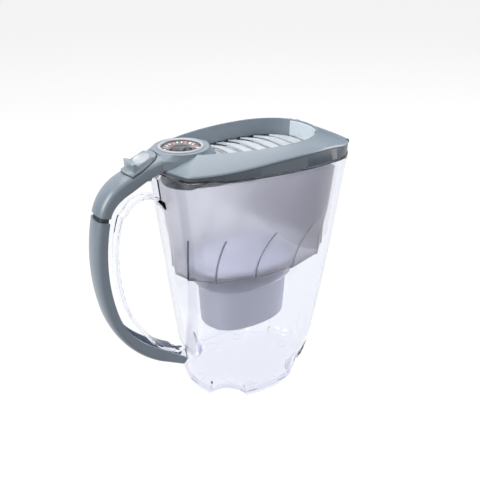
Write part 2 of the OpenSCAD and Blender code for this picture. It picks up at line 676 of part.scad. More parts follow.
// An oval with a point for every point of ps, in its direction from the cartridge's middle
function ovals(ps, a, b, z) = [for (p = ps)
    let (q = oval_point(a, b, atan2(p[1] / b, (p[0] - cart_x) / a))) [q[0], q[1], z]];
function funnel_plan(t) = [
    mix(89, 91.5, t), mix(14, 28, t), mix(48, rim_w / 2 - 5, t), mix(-58, -71, t), mix(32, 38, t),
    mix(-73, -81, t), mix(2.2, 2.5, t), mix(2, 1.9, t)];
// The skirt's lower edge is a polygon between the folds
function folded(P, h) = let (
    k = max([for (j = [0 : len(fold_at) - 2]) if (fold_at[j] <= h) j]),
    f = (h - fold_at[k]) / (fold_at[k + 1] - fold_at[k]),
    p = mix(half_point(P, fold_at[k]), half_point(P, fold_at[k + 1]), f))
    p * (1 + fold_out * (2 * abs(f - 0.5) - 0.4) / norm(p));
function funnel_ring(z, d) = let (
    t = (z - funnel_low) / (rim_z - funnel_low), u = max(0, min(1, (z - funnel_low) / (fold_z - funnel_low))),
    low = funnel_plan(0), high = funnel_plan(t),
    half = [for (h = [0 : half_n])
        let (g = max(0, h - fold_lean * u * sin(180 * h / half_n)))
        mix(folded(low, h), half_point(high, g), u)],
    ring = [for (i = [0 : ring_n - 1]) i <= half_n ? half[i] : [half[ring_n - i][0], -half[ring_n - i][1]]])
    lift(inset(ring, d), z);
function funnel_edge(d, dz) = funnel_ring(funnel_low, d) + [for (i = [0 : ring_n - 1]) [0, 0, dz]];

// The flange lies on the jug's rim, d inside its edge, except across the spout's mouth
function flange(d) = let (wall = funnel_ring(rim_z, 0), edge = inset(rim_outline, d)) [for (i = [0 : ring_n - 1])
    let (on = rim_outline[i][0] < 0 ? 1 : ramp(abs(rim_outline[i][1]), 38, 47))
    [mix(wall[i][0], edge[i][0], on), mix(wall[i][1], edge[i][1], on)]];

module funnel() {
    folds = [funnel_low + 8, funnel_low + 17, funnel_low + 26, funnel_low + 36, fold_z];
    color([0.72, 0.68, 0.8, 0.5]) skin(concat(
        [ovals(rim_outline, mouth_a + collar_t, mouth_b + collar_t, collar_low)],
        [ovals(rim_outline, mouth_a + collar_t, mouth_b + collar_t, funnel_low - 4)],
        [funnel_edge(2.2, 0), funnel_edge(0, 1.4)],
        [for (z = folds) funnel_ring(z, 0)],
        [at_rim(funnel_ring(rim_z, 0), -3), at_rim(flange(3.4), gap), at_rim(flange(0.6), gap),
         at_rim(flange(0.6), gap + flange_t), at_rim(flange(3.4), gap + flange_t),
         at_rim(funnel_ring(rim_z, funnel_wall), gap + flange_t), at_rim(funnel_ring(rim_z, funnel_wall), -3)],
        [for (k = [len(folds) - 1 : -1 : 0]) funnel_ring(folds[k], funnel_wall)],
        [funnel_edge(funnel_wall, 3.4)],
        [ovals(rim_outline, mouth_a + collar_t + 1, mouth_b + collar_t + 1, funnel_low - 1.6)],
        [ovals(rim_outline, mouth_a, mouth_b, funnel_low - 2)],
        [ovals(rim_outline, mouth_a, mouth_b, collar_low)]), looped = true);
}

// ---------------------------------------------------------------- cartridge

shell_t = 1.6;
cart_top = 127;
oval_n = 48;
function oval2(a, b) = [for (i = [0 : oval_n - 1]) oval_point(a, b, 360 * i / oval_n)];
function oval(a, b, z) = lift(oval2(a, b), z);
cart_taper = 3;
module cartridge_shell() {
    a = cart_a;
    b = cart_b;
    color(milky) skin([
        oval(a - cart_taper - 4, b - cart_taper - 4, cart_low), oval(a - cart_taper - 1.2, b - cart_taper - 1.2, cart_low + 1.2),
        oval(a - cart_taper, b - cart_taper, cart_low + 4.5), oval(a, b, cart_top),
        oval(a - shell_t, b - shell_t, cart_top), oval(a - cart_taper - shell_t, b - cart_taper - shell_t, cart_low + 5),
        oval(a - cart_taper - 4, b - cart_taper - 4, cart_low + 2.4)], looped = true);
}
module slot_row(count, pitch, l, w, h) {
    for (i = [0 : count - 1]) translate([cart_x + (i - (count - 1) / 2) * pitch - w / 2, -l / 2, -1]) cube([w, l, h + 2]);
}
module cartridge_grate() {
    color(milky) translate([0, 0, cart_low + 0.2]) difference() {
        linear_extrude(2) polygon(oval2(cart_a - cart_taper - 4, cart_b - cart_taper - 4));
        slot_row(11, 5.6, 30, 1.6, 2);
    }
}
module cartridge_media() {
    color([0.25, 0.26, 0.28]) translate([0, 0, cart_low + 5.6]) linear_extrude(cart_top - cart_low - 10)
        polygon(oval2(cart_a - cart_taper - shell_t - 0.8, cart_b - cart_taper - shell_t - 0.8));
}
module cartridge_screen() {
    color("white") translate([0, 0, cart_top - 3.6]) difference() {
        linear_extrude(1) polygon(oval2(cart_a - shell_t - 0.6, cart_b - shell_t - 0.6));
        slot_row(9, 8, 34, 2.4, 1);
    }
}
cap_z = funnel_low + 3.2;
module cartridge_cap() {
    color(milky) difference() {
        union() {
            translate([0, 0, cart_top + 0.05]) linear_extrude(cap_z - cart_top) polygon(oval2(cart_a, cart_b));
            translate([0, 0, cap_z - 1.2]) linear_extrude(2.2) polygon(oval2(cart_a + 5, cart_b + 5));
            translate([0, 0, cap_z]) linear_extrude(7) polygon(oval2(cart_a - 4, cart_b - 4));
            translate([cart_x - 16, -2, cap_z + 6]) cube([32, 4, 9]);
        }
        translate([0, 0, cart_top - 1]) linear_extrude(cap_z - cart_top + 5.8) polygon(oval2(cart_a - 5.8, cart_b - 5.8));
        for (i = [0 : 6], s = [-1, 1]) translate([cart_x + (i - 3) * 8 - 1.2, s * 12 - 6, cap_z + 2]) cube([2.4, 12, 8]);
        translate([cart_x, 0, cap_z + 10.5]) rotate([90, 0, 0]) cylinder(r = 2.5, h = 10, center = true);
    }
}
module cartridge_seal() {
    color("white") translate([0, 0, funnel_low - 1.3]) linear_extrude(cap_z - 1.6 - funnel_low + 1.3) difference() {
        polygon(oval2(cart_a + 4, cart_b + 4));
        polygon(oval2(cart_a + 0.3, cart_b + 0.3));
    }
}

jug_body();
handle_grip();
lid_shell();
lid_tray();
well_front_screen();
thumb_slider();
shutter_bar();
shutter_slat_1();
shutter_slat_2();
shutter_slat_3();
shutter_slat_4();
shutter_slat_5();
shutter_slat_6();
shutter_slat_7();
spout_flap();
counter_cup();
counter_scale();
counter_pointer();
counter_ratchet();
counter_click_spring();
counter_lens();
counter_ring();
funnel();
cartridge_shell();
cartridge_grate();
cartridge_media();
cartridge_screen();
cartridge_cap();
cartridge_seal();
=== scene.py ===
import math

import bmesh
import bpy
import numpy as np
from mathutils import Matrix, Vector


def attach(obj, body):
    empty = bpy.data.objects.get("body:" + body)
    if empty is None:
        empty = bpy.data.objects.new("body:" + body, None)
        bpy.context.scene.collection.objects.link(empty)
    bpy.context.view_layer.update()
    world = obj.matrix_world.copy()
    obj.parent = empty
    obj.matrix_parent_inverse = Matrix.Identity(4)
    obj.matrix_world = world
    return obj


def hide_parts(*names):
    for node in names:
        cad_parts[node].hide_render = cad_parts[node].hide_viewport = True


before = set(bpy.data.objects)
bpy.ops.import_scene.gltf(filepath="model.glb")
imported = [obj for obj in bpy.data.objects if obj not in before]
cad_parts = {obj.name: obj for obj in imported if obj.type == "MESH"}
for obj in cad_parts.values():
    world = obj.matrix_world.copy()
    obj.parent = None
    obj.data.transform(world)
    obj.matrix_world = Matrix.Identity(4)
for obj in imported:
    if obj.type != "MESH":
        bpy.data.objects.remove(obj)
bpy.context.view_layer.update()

# ---------------------------------------------------------------- table top, daylight and camera
# A white laminate table top under three broad soft boxes. Three dark blue cards round the jug are
# hidden from the camera: only gloss and clear plastic show them. The camera looks down from the
# handle's end, on the -Y side.

MM = 0.001
WHITE = (1, 1, 1, 1)
TABLE_HALF = 6
# The share of plain white in what is seen of the laminate; the rest of it takes the shadow
LAMINATE_WHITE = 0.86


def finish_of(name, slot_values):
    """A new moulded material: its node tree, its surface shader and its output."""
    material = bpy.data.materials.new(name)
    material.use_nodes = True
    tree = material.node_tree
    tree.nodes.clear()
    output = tree.nodes.new("ShaderNodeOutputMaterial")
    shader = tree.nodes.new("ShaderNodeBsdfPrincipled")
    tree.links.new(shader.outputs[0], output.inputs[0])
    for socket, value in slot_values.items():
        shader.inputs[socket].default_value = value
    return material, tree, shader, output


def maths(tree, how, a, b):
    """A maths node on sockets or plain values."""
    step = tree.nodes.new("ShaderNodeMath")
    step.operation = how
    for socket, value in zip(step.inputs, (a, b)):
        if isinstance(value, float):
            socket.default_value = value
        else:
            tree.links.new(value, socket)
    return step.outputs[0]


def white_rays(tree):
    """One for the camera's rays, and for those that gloss or clear plastic sends on."""
    rays = tree.nodes.new("ShaderNodeLightPath").outputs
    seen = maths(tree, "MAXIMUM", rays["Is Camera Ray"], rays["Is Glossy Ray"])
    return maths(tree, "MAXIMUM", seen, rays["Is Transmission Ray"])


def mixed_into(output, tree, share, plain, other):
    mix = tree.nodes.new("ShaderNodeMixShader")
    for socket, value in zip(mix.inputs, (share, plain, other)):
        tree.links.new(value, socket)
    tree.links.new(mix.outputs[0], output.inputs[0])


def ramp_of(tree, share, first, last, *middle):
    """A ramp of colours, each given as (position, colour)."""
    ramp_node = tree.nodes.new("ShaderNodeValToRGB")
    stops = ramp_node.color_ramp.elements
    for stop, (at, colour) in zip(stops, (first, last)):
        stop.position, stop.color = at, (*colour, 1)
    for at, colour in middle:
        stops.new(at).color = (*colour, 1)
    tree.links.new(share, ramp_node.inputs[0])
    return ramp_node.outputs[0]


def put_in(name, data):
    """A new object in the scene."""
    thing = bpy.data.objects.new(name, data)
    bpy.context.collection.objects.link(thing)
    return thing


def flat_sheet(name, corners, material):
    """A single face that is not part of the object."""
    mesh = bpy.data.meshes.new(name)
    mesh.from_pydata(corners, [], [(0, 1, 2, 3)])
    mesh.materials.append(material)
    sheet = put_in(name, mesh)
    return sheet


def table_top():
    laminate, tree, shader, output = finish_of("white_laminate", {
        "Roughness": 0.6, "Specular IOR Level": 0.2})
    seen = white_rays(tree)
    lit_and_seen = ramp_of(tree, seen, (0, (0.2, 0.2, 0.215)), (1, (0.92, 0.92, 0.93)))
    tree.links.new(lit_and_seen, shader.inputs["Base Color"])
    glow = tree.nodes.new("ShaderNodeEmission")
    glow.inputs[0].default_value = WHITE
    share = maths(tree, "MULTIPLY", seen, LAMINATE_WHITE)
    mixed_into(output, tree, share, shader.outputs[0], glow.outputs[0])
    h = TABLE_HALF
    flat_sheet("table_top", [(-h, -h, 0), (h, -h, 0), (h, h, 0), (-h, h, 0)], laminate)


def daylight():
    """A dim cool room, which the camera, gloss and clear plastic see as plain white."""
    world = bpy.data.worlds.new("studio")
    bpy.context.scene.world = world
    world.use_nodes = True
    tree = world.node_tree
    tree.nodes.clear()
    room, white = (tree.nodes.new("ShaderNodeBackground") for _ in range(2))
    for sky, colour, strength in ((room, (0.93, 0.95, 1.0, 1), 0.15), (white, WHITE, 1.0)):
        sky.inputs[0].default_value = colour
        sky.inputs[1].default_value = strength
    output = tree.nodes.new("ShaderNodeOutputWorld")
    mixed_into(output, tree, white_rays(tree), room.outputs[0], white.outputs[0])


def soft_box(name, at, aim, size, power):
    lamp = bpy.data.lights.new(name, "AREA")
    lamp.shape = "RECTANGLE"
    lamp.size, lamp.size_y = size
    lamp.energy = power
    box = put_in(name, lamp)
    box.location = at
    box.rotation_euler = (Vector(aim) - Vector(at)).to_track_quat("-Z", "Y").to_euler()


def dark_card(name, at, size, turn):
    w, h = size
    cloth = finish_of(name + "_cloth", {"Base Color": (0.03, 0.045, 0.11, 1), "Roughness": 0.9})[0]
    card = flat_sheet(name, [(-w, 0, 0), (w, 0, 0), (w, 0, h), (-w, 0, h)], cloth)
    card.location = at
    card.rotation_euler = (0, 0, math.radians(turn))
    card.visible_camera = card.visible_shadow = card.visible_diffuse = False


table_top()
daylight()
soft_box("box_above", (0.1, 0.25, 1.5), (0, 0, 0.12), (1.4, 1.2), 23)
soft_box("box_left", (-1.4, -0.1, 0.9), (0, 0, 0.15), (0.9, 0.9), 26)
soft_box("box_right", (1.3, -0.7, 0.8), (0, 0, 0.15), (0.8, 0.8), 24)
dark_card("card_left", (-0.75, 0.5, 0.02), (0.3, 0.7), 40)
dark_card("card_right", (0.6, -0.62, 0.02), (0.34, 0.5), 45)
dark_card("card_far", (0.75, 0.42, 0.02), (0.2, 0.7), -50)

# The frame's width and the lens's focal length in pixels, and the sensor's width in millimetres
FRAME_PX, FOCAL_PX, SENSOR = 480, 629.6, 36
LOOKS_DOWN, TURNED = 0.466, 0.568

bpy.context.scene.view_settings.view_transform = "Standard"
camera = put_in("camera", bpy.data.cameras.new("camera"))
camera.data.sensor_width = SENSOR
camera.data.lens = FOCAL_PX / FRAME_PX * SENSOR
camera.location = (-0.30046, -0.46599, 0.42627)
camera.rotation_euler = (math.pi / 2 - LOOKS_DOWN, 0, -TURNED)
bpy.context.scene.camera = camera

# ---------------------------------------------------------------- jug
# One injection moulding in crystal-clear plastic: a lofted body that widens to an oval rim with a
# spout, four scallops and six dimples in its foot, and the clear web and rail of its handle.

RIM_Z, RIM_RISE, WALL, FLOOR = 234.3, 2.2, 2.6, 4.5
# Half outlines: front, x of the widest place, half width, back corner's x and y, back, and how blunt
# the front and the sides are. Each grows from the foot to the rim by its own power of the height
FOOT_PLAN = (63, 2, 53.5, -47.5, 45, -63, 1.8, 2.14)
RIM_PLAN = (103, 30, 61, -77.5, 42.4, -88, 2.6, 1.9)
GROWTH = (0.48, 1, 0.6, 1, 1, 0.9, 1, 1)
SCALLOPS_AT, SCALLOP_HIGH, SCALLOP_DEPTH, SCALLOP_R, SCALLOP_FACE = (45, 135), 34, 10, 22, 58
# Points of half a ring: round the front, along the side, across the back. Coarse ones carry the folds
COARSE, FINE = (14, 12, 6), 4
STEPS = tuple(n * FINE for n in COARSE)
HALF_N = sum(STEPS)
RING_N = 2 * HALF_N


def mix_of(a, b, t):
    return a + (b - a) * t


def ramp(x, x0, x1):
    t = min(1, max(0, (x - x0) / (x1 - x0)))
    return t * t * (3 - 2 * t)


def half_point(P, i, steps=STEPS):
    """Point i along half of the outline P."""
    f, s, r = steps
    if i <= f:
        a = math.pi / 2 * i / f
        return (P[1] + (P[0] - P[1]) * math.cos(a) ** (2 / P[6]) if i < f else P[1],
                P[2] * math.sin(a) ** (2 / P[6]))
    if i <= f + s:
        t = (i - f) / s
        return mix_of(P[1], P[3], t), P[2] - (P[2] - P[4]) * t ** P[7]
    t = (i - f - s) / r
    return mix_of(P[3], P[5], 1 - (1 - t) ** 2), P[4] * (1 - t)


def both_halves(half):
    """A closed ring from its left half, which starts and ends on the middle line."""
    half = np.array(half, float)
    return np.vstack([half, (half * [1, -1])[-2:0:-1]])


def outline(P):
    """A closed outline whose two back corners are rounded off."""
    ring = both_halves([half_point(P, i) for i in range(HALF_N + 1)])
    for corner in (STEPS[0] + STEPS[1], RING_N - STEPS[0] - STEPS[1]):
        for _ in range(5):
            near = ring[corner - 3:corner + 4]
            ring[corner - 2:corner + 3] = (near[:-2] + 2 * near[1:-1] + near[2:]) / 4
    return ring


def inset(ring, d):
    t = np.roll(ring, -1, 0) - np.roll(ring, 1, 0)
    n = np.stack([t[:, 1], -t[:, 0]], 1)
    return ring - d * n / np.linalg.norm(n, axis=1)[:, None]


def lift(ring, z):
    return np.column_stack([ring, np.broadcast_to(z, len(ring))])


def jug_outline(t):
    t = max(t, 0)
    return outline([mix_of(low, high, t ** g) for low, high, g in zip(FOOT_PLAN, RIM_PLAN, GROWTH)])


def drawn_in(ring, d):
    """A level ring with each of its points d nearer to the middle."""
    return ring * np.column_stack([1 - d / np.hypot(*ring[:, :2].T)] * 2 + [np.ones(len(ring))])


def jug_ring(z, d):
    """The jug's plan at height z, d inside its outer face, with the foot's four scallops."""
    ring = jug_outline(z / RIM_Z)
    if z < SCALLOP_HIGH:
        r = SCALLOP_R
        middle = SCALLOP_FACE + r - SCALLOP_DEPTH * (1 - z / SCALLOP_HIGH) ** 1.5
        reach = np.hypot(*ring.T)
        bearing = np.degrees(np.arctan2(np.abs(ring[:, 1]), ring[:, 0]))
        for at in SCALLOPS_AT:
            turn = np.radians(bearing - at)
            off = middle * np.sin(turn)
            near = middle * np.cos(turn) - np.sqrt(np.maximum(r * r - off * off, 0))
            hit = (np.abs(bearing - at) < 40) & (np.abs(off) < r)
            cut = np.where(hit, np.minimum(reach, near), reach)
            reach = mix_of(reach, cut, 1 - ramp(z, 8, SCALLOP_HIGH))
        ring = ring * (reach / np.hypot(*ring.T))[:, None]
    # Round the foot's cusps the inside is drawn in towards the middle, where an inset would cross itself
    drawn = 1 - ramp(z, 24, SCALLOP_HIGH) if d > 2 else 0
    return mix_of(lift(inset(ring, d), z), drawn_in(lift(ring, z), d), drawn)


RIM = jug_outline(1)


def rim_height():
    return RIM_Z + RIM_RISE * np.array([ramp(x, -50, -57) for x in RIM[:, 0]])


def at_rim(ring, dz):
    return lift(ring, rim_height() + dz)


def shell_mesh(rings, ends="joined"):
    """Points and faces of a skin over rings of equal length. Its ends are joined to each other, each
    closed by one flat face, or each closed by quads across from a ring's first half to its second."""
    n, m = len(rings[0]), len(rings)
    faces = []
    for k in range(m if ends == "joined" else m - 1):
        a, b = k * n, (k + 1) % m * n
        faces += [(a + i, a + (i + 1) % n, b + (i + 1) % n, b + i) for i in range(n)]
    if ends == "flat":
        faces += [tuple(range(n - 1, -1, -1)), tuple(range((m - 1) * n, m * n))]
    if ends == "across":
        for e in (0, (m - 1) * n):
            faces += [(e + i, e + i + 1, e + n - 2 - i, e + n - 1 - i) for i in range(n // 2 - 1)]
    return np.vstack(rings), faces


def solid(name, points, faces):
    """A loose object from millimetres, its faces turned outwards."""
    mesh = bpy.data.meshes.new(name)
    mesh.from_pydata([tuple(p) for p in np.array(points) * MM], [], faces)
    bm = bmesh.new()
    bm.from_mesh(mesh)
    bmesh.ops.recalc_face_normals(bm, faces=bm.faces)
    bm.to_mesh(mesh)
    bm.free()
    return put_in(name, mesh)


def slab(name, profile, y0, y1, round_edge=0.0):
    """A plate cut to an XZ profile between two heights of y, with its edges rounded."""
    n = len(profile)
    points = [(x, y, z) for y in (y0, y1) for x, z in profile]
    faces = [tuple(range(n)), tuple(range(2 * n - 1, n - 1, -1))]
    faces += [(i, i + n, (i + 1) % n + n, (i + 1) % n) for i in range(n)]
    piece = solid(name, points, faces)
    if round_edge:
        bevel(piece, round_edge)
    return piece


def settle(piece):
    """Makes a piece's modifiers part of its mesh."""
    mesh = bpy.data.meshes.new_from_object(piece.evaluated_get(bpy.context.evaluated_depsgraph_get()))
    piece.modifiers.clear()
    piece.data = mesh


def bevel(piece, width):
    """Rounds a piece's edges in three steps, where they turn by over 30 degrees."""
    edge = piece.modifiers.new("edge", "BEVEL")
    edge.width, edge.segments, edge.limit_method = width * MM, 3, "ANGLE"
    edge.angle_limit = math.radians(30)
    settle(piece)


def weld(piece, others, how="UNION"):
    """Joins loose solids to a piece, or cuts them out of it, and removes them."""
    for other in others:
        step = piece.modifiers.new("weld", "BOOLEAN")
        step.operation, step.object, step.solver = how, other, "EXACT"
    settle(piece)
    for other in others:
        bpy.data.objects.remove(other)


def smooth(piece, angle=32):
    """Smooth shading between creases, with faces that lie square to an axis kept flat."""
    piece.data.shade_smooth()
    piece.data.set_sharp_from_angle(angle=math.radians(angle))
    for face in piece.data.polygons:
        if max(abs(v) for v in face.normal) > 0.99999:
            face.use_smooth = False


def place(piece, body, material, slot, *nodes):
    """Gives a finished piece its material, its body and the solids that it stands for."""
    piece.data.materials.clear()
    piece.data.materials.append(material)
    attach(piece, body)
    if nodes:
        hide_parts(*nodes)


def drum(name, at, radius, length, axis="z", sides=48):
    """A round solid centred on a point, for boring and for small round parts."""
    ring = [(math.cos(2 * math.pi * i / sides) * radius, math.sin(2 * math.pi * i / sides) * radius)
            for i in range(sides)]
    rings = [np.array([(x, y, z) for x, y in ring]) for z in (-length / 2, length / 2)]
    points, faces = shell_mesh(rings, ends="flat")
    if axis == "y":
        points = points[:, [0, 2, 1]]
    return solid(name, points + np.array(at), faces)


def noise(tree, scale, detail=2.0):
    """Cloudy noise that is fixed to the object."""
    where = tree.nodes.new("ShaderNodeTexCoord").outputs["Object"]
    cloud = tree.nodes.new("ShaderNodeTexNoise")
    cloud.inputs["Scale"].default_value = scale
    cloud.inputs["Detail"].default_value = detail
    tree.links.new(where, cloud.inputs["Vector"])
    return cloud.outputs["Fac"]


def roughened(shader, tree, height, strength, distance):
    bump = tree.nodes.new("ShaderNodeBump")
    bump.inputs["Strength"].default_value = strength
    bump.inputs["Distance"].default_value = distance
    tree.links.new(height, bump.inputs["Height"])
    tree.links.new(bump.outputs[0], shader.inputs["Normal"])


def clear_plastic(name, tint, roughness=0.0, ior=1.5, ripple=0.02, depth=0.0):
    """A see-through moulding with faint flow ripples; with a depth, bluer where its wall is thick."""
    material, tree, shader, output = finish_of(name, {
        "Base Color": (*tint, 1), "Roughness": roughness, "IOR": ior, "Transmission Weight": 1.0})
    roughened(shader, tree, noise(tree, 22, 1.5), ripple, 0.002)
    lit = tree.nodes.new("ShaderNodeBsdfTransparent")
    lit.inputs[0].default_value = (*[0.25 + 0.75 * c for c in tint], 1)
    shadow_rays = tree.nodes.new("ShaderNodeLightPath").outputs["Is Shadow Ray"]
    mixed_into(output, tree, shadow_rays, shader.outputs[0], lit.outputs[0])
    if depth:
        loss = tree.nodes.new("ShaderNodeVolumeAbsorption")
        loss.inputs["Color"].default_value = (0.50, 0.53, 0.74, 1)
        loss.inputs["Density"].default_value = depth
        tree.links.new(loss.outputs[0], output.inputs["Volume"])
    return material


# The handle's back is a straight crown and a chain of tangent arcs in the XZ plane, and each arc is
# named by the angle of its normal where it ends
HEEL_C, HEEL_R, BACK_R, BELLY_R = np.array([-103.5, 198.4]), 45, 200, 111
HEEL_A, SEAM_A, BELLY_A, TAIL_A, TAIL_L = 23.6, 75, 102.5, 148, 30


def outward(a):
    return np.array([-math.sin(math.radians(a)), math.cos(math.radians(a))])


BACK_C = HEEL_C + (HEEL_R - BACK_R) * outward(SEAM_A)
BELLY_C = BACK_C + (BACK_R - BELLY_R) * outward(BELLY_A)


def spine(a, n, s=0.0):
    """The point at angle a along the handle's back, n inside it, moved on by s along its tangent."""
    centre, r = (HEEL_C, HEEL_R) if a < SEAM_A else (BACK_C, BACK_R) if a < BELLY_A else (BELLY_C, BELLY_R)
    along = np.array([math.cos(math.radians(a)), math.sin(math.radians(a))])
    return centre + (r - n) * outward(a) - s * along


# The rail's radius where it arches over at the jug, and how far inside the handle's back it runs
RAIL_ARCH_R, RAIL_DEEP, RAIL_TAIL, RAIL_T, RAIL_HALF, WEB_HALF = 18, 22, 16, 3, 8.5, 2
DIMPLES, DIMPLE_R = ((52, 0), (17, 39), (17, -39), (-52, 0), (-17, 39), (-17, -39)), 5.5


def rail_line(extra):
    """The finger side of the clear rail, from its arch at the jug round to the handle's tail."""
    def depth(a):
        if a < BELLY_A:
            return mix_of(27, RAIL_DEEP, ramp(a, 60, 85))
        return mix_of(RAIL_DEEP, RAIL_TAIL, ramp(a, 120, TAIL_A))
    return ([HEEL_C + (RAIL_ARCH_R + extra) * outward(a) for a in range(-40, 22, 4)]
            + [spine(a, depth(a) - extra) for a in np.linspace(HEEL_A, TAIL_A, 40)]
            + [spine(TAIL_A, RAIL_TAIL - extra, 14)])


heights = [3.4, 4.6, 6, 8, 10.5, 13, 15.5, 18, 20.5, 23, 25.5, 28, 31, SCALLOP_HIGH, 40, 47, 57, 68, 81,
           95, 110, 125, 142, 160, 180, 200, 218]
foot_edge = jug_ring(0, 1.4)
cove = [(2.6, 0.5), (1.2, 1.4), (0.3, 3), (0, 5), (0, 8)]
points, faces = shell_mesh(
    [drawn_in(foot_edge, 2), foot_edge, jug_ring(0.25, 0.75), jug_ring(0.7, 0.3), jug_ring(1.4, 0.08),
     jug_ring(2.4, 0)]
    + [jug_ring(z, 0) for z in heights]
    + [at_rim(RIM, -4), at_rim(RIM, -0.7), at_rim(inset(RIM, 0.25), -0.15), at_rim(inset(RIM, 0.7), 0),
       at_rim(inset(RIM, WALL - 0.5), 0), at_rim(inset(RIM, WALL), -0.4), at_rim(inset(RIM, WALL), -4)]
    + [jug_ring(z, WALL) for z in heights[:3:-1]]
    + [drawn_in(jug_ring(FLOOR + up, WALL), d) for up, d in cove], ends="flat")
jug = solid("jug_body_clear", points, faces)
web_foot = [(-67.6, 46), (-65.6, 30), spine(TAIL_A, 3.7, TAIL_L - 10)]
web_back = [spine(a, 2.7) for a in range(TAIL_A, 37, -4)] + [(-121, 229.4), (-86.2, 229.4)]
web = slab("web", [(-83.8, 203)] + rail_line(RAIL_T / 2) + web_foot + web_back, -WEB_HALF, WEB_HALF, 0.5)
rail = slab("rail", [(-83.6, 201)] + rail_line(0) + [(-67.9, 50)] + rail_line(RAIL_T)[::-1] + [(-84.3, 209)],
            -RAIL_HALF, RAIL_HALF, 0.9)
dimples = [drum("dimple", (x, y, 0), DIMPLE_R, 2) for x, y in DIMPLES]
weld(web, [rail])
weld(jug, [web])
weld(jug, dimples, "DIFFERENCE")
smooth(jug)
place(jug, "jug", clear_plastic("clear_jug", (0.965, 0.97, 0.985), depth=42), "clear_plastic", "jug_body")
# The core of the handle bends light less than the walls do, so that it stays as bright as they are
jug.data.materials.append(clear_plastic("clear_core", (0.98, 0.983, 0.99), 0.0, 1.15, depth=16))
BACK = 5
for face in jug.data.polygons:
    x, _, z = face.center / MM
    if x < mix_of(FOOT_PLAN[BACK], RIM_PLAN[BACK], (z / RIM_Z) ** GROWTH[BACK]) - 0.4:
        face.material_index = 1

# ---------------------------------------------------------------- handle grip
# The lower half of the handle's cover, an open channel in satin slate plastic with a rounded back.
# It snaps over the jug's clear web and ends in a point at the jug's heel.

GRIP_W, GRIP_DEPTH, TAIL_DEPTH, GRIP_WALL = 24, 10.5, 14, 2.2
# How far the rounded back drops to its sides, and how late
DROP, LATE = 5.2, 1.25


def mapped(tree, value, low, high, to_low=0.0, to_high=1.0, how="LINEAR"):
    step = tree.nodes.new("ShaderNodeMapRange")
    step.interpolation_type = how
    step.inputs["From Min"].default_value, step.inputs["From Max"].default_value = low, high
    step.inputs["To Min"].default_value, step.inputs["To Max"].default_value = to_low, to_high
    tree.links.new(value, step.inputs["Value"])
    return step.outputs[0]


def clouded(shader, tree, cloud, colour, shades, roughness, gloss):
    """Varies a plastic with a cloud: its colour by (position, share), its roughness between two shares."""
    stops = [(at, [min(1, c * share) for c in colour]) for at, share in shades]
    tree.links.new(ramp_of(tree, cloud, *stops), shader.inputs["Base Color"])
    dull = mapped(tree, cloud, 0, 1, *[roughness * share for share in gloss])
    tree.links.new(dull, shader.inputs["Roughness"])


def slate_plastic(name, colour, roughness=0.3):
    """Satin coloured plastic: faint flow marks in its colour, fine moulding texture, uneven gloss."""
    material, tree, shader, _ = finish_of(name, {
        "Roughness": roughness, "Specular IOR Level": 0.4, "Coat Weight": 0.1, "Coat Roughness": 0.18})
    clouded(shader, tree, noise(tree, 9, 3), colour, ((0.3, 0.95), (0.7, 1.05)), roughness, (0.85, 1.2))
    roughened(shader, tree, noise(tree, 900), 0.05, 0.0002)
    return material


slate = slate_plastic("satin_slate", (0.165, 0.20, 0.235))


def channel_mesh(stations, skin=0.0, wall=GRIP_WALL):
    """An open channel along the handle's back, skin inside it. Stations are (angle, run, width, depth)."""
    t = np.linspace(0, 1, 13)
    share = np.sin(t * math.pi / 2)
    drop = DROP * (1 - np.cos(t * math.pi / 2)) ** LATE
    rings = []
    for a, s, w, d in stations:
        outer, inner = ([(x * (w / 2 - e), min(d, y + e * (1 - 0.6 * x))) for x, y in zip(share, drop)]
                        + [(w / 2 - e, d)] for e in (skin, skin + wall))
        loop = ([(-x, y) for x, y in outer[:0:-1]] + outer + inner[:0:-1] + [(-x, y) for x, y in inner])
        rings.append(np.array([(*spine(a, y, s), x) for x, y in loop])[:, [0, 2, 1]])
    return shell_mesh(rings, ends="across")


stations = [(a, 0, GRIP_W, mix_of(GRIP_DEPTH, TAIL_DEPTH, ramp(a, 112, 145)))
            for a in np.linspace(SEAM_A + 1, TAIL_A, 40)]
stations += [(TAIL_A, s, mix_of(GRIP_W, 15, s / TAIL_L), mix_of(TAIL_DEPTH, 9, s / TAIL_L))
             for s in np.linspace(3, 29, 9)]
grip = solid("grip_cover", *channel_mesh(stations))
smooth(grip, 40)
place(grip, "jug", slate, "slate_plastic", "handle_grip")
# A thin lip inside the seam closes it to the eye; its near black is painted shadow for the seam
stations = [(a, 0, GRIP_W, 10) for a in np.linspace(SEAM_A - 3, SEAM_A + 3, 7)]
lip = solid("seam_lip", *channel_mesh(stations, 2.3, 0.3))
smooth(lip, 40)
place(lip, "jug", slate_plastic("seam_lip_painted_shadow", (0.02, 0.024, 0.03), 0.5), "slate_plastic")

# ---------------------------------------------------------------- funnel
# The tinted see-through hopper that hangs in the jug by its flange and holds the water to be
# filtered. Its skirt is folded into facets above the oval collar that takes the cartridge.

FUNNEL_WALL, FUNNEL_LOW, FOLD_Z, FOLD_OUT, CART_X = 1.6, 131, 176, 1.6, -0.5
CART_A, CART_B, COLLAR_LOW, COLLAR_TOP = 47.5, 32.5, 113, 127
FUNNEL_FOOT = (89, 14, 48, -58, 32, -73, 2.2, 2)
FUNNEL_TOP = (91.5, 28, 56, -71, 38, -81, 2.5, 1.9)
# The folds start at these coarse points of the foot's outline, and lean forward by LEAN of them
FOLDS, LEAN = [0, 4, 8, 13, 19, 25, 29, 32], 2.6


def blunt_oval(a, b, turns):
    def blunt(v):
        return np.sign(v) * np.abs(v) ** 0.86
    return np.column_stack([CART_X + a * blunt(np.cos(turns)), b * blunt(np.sin(turns))])


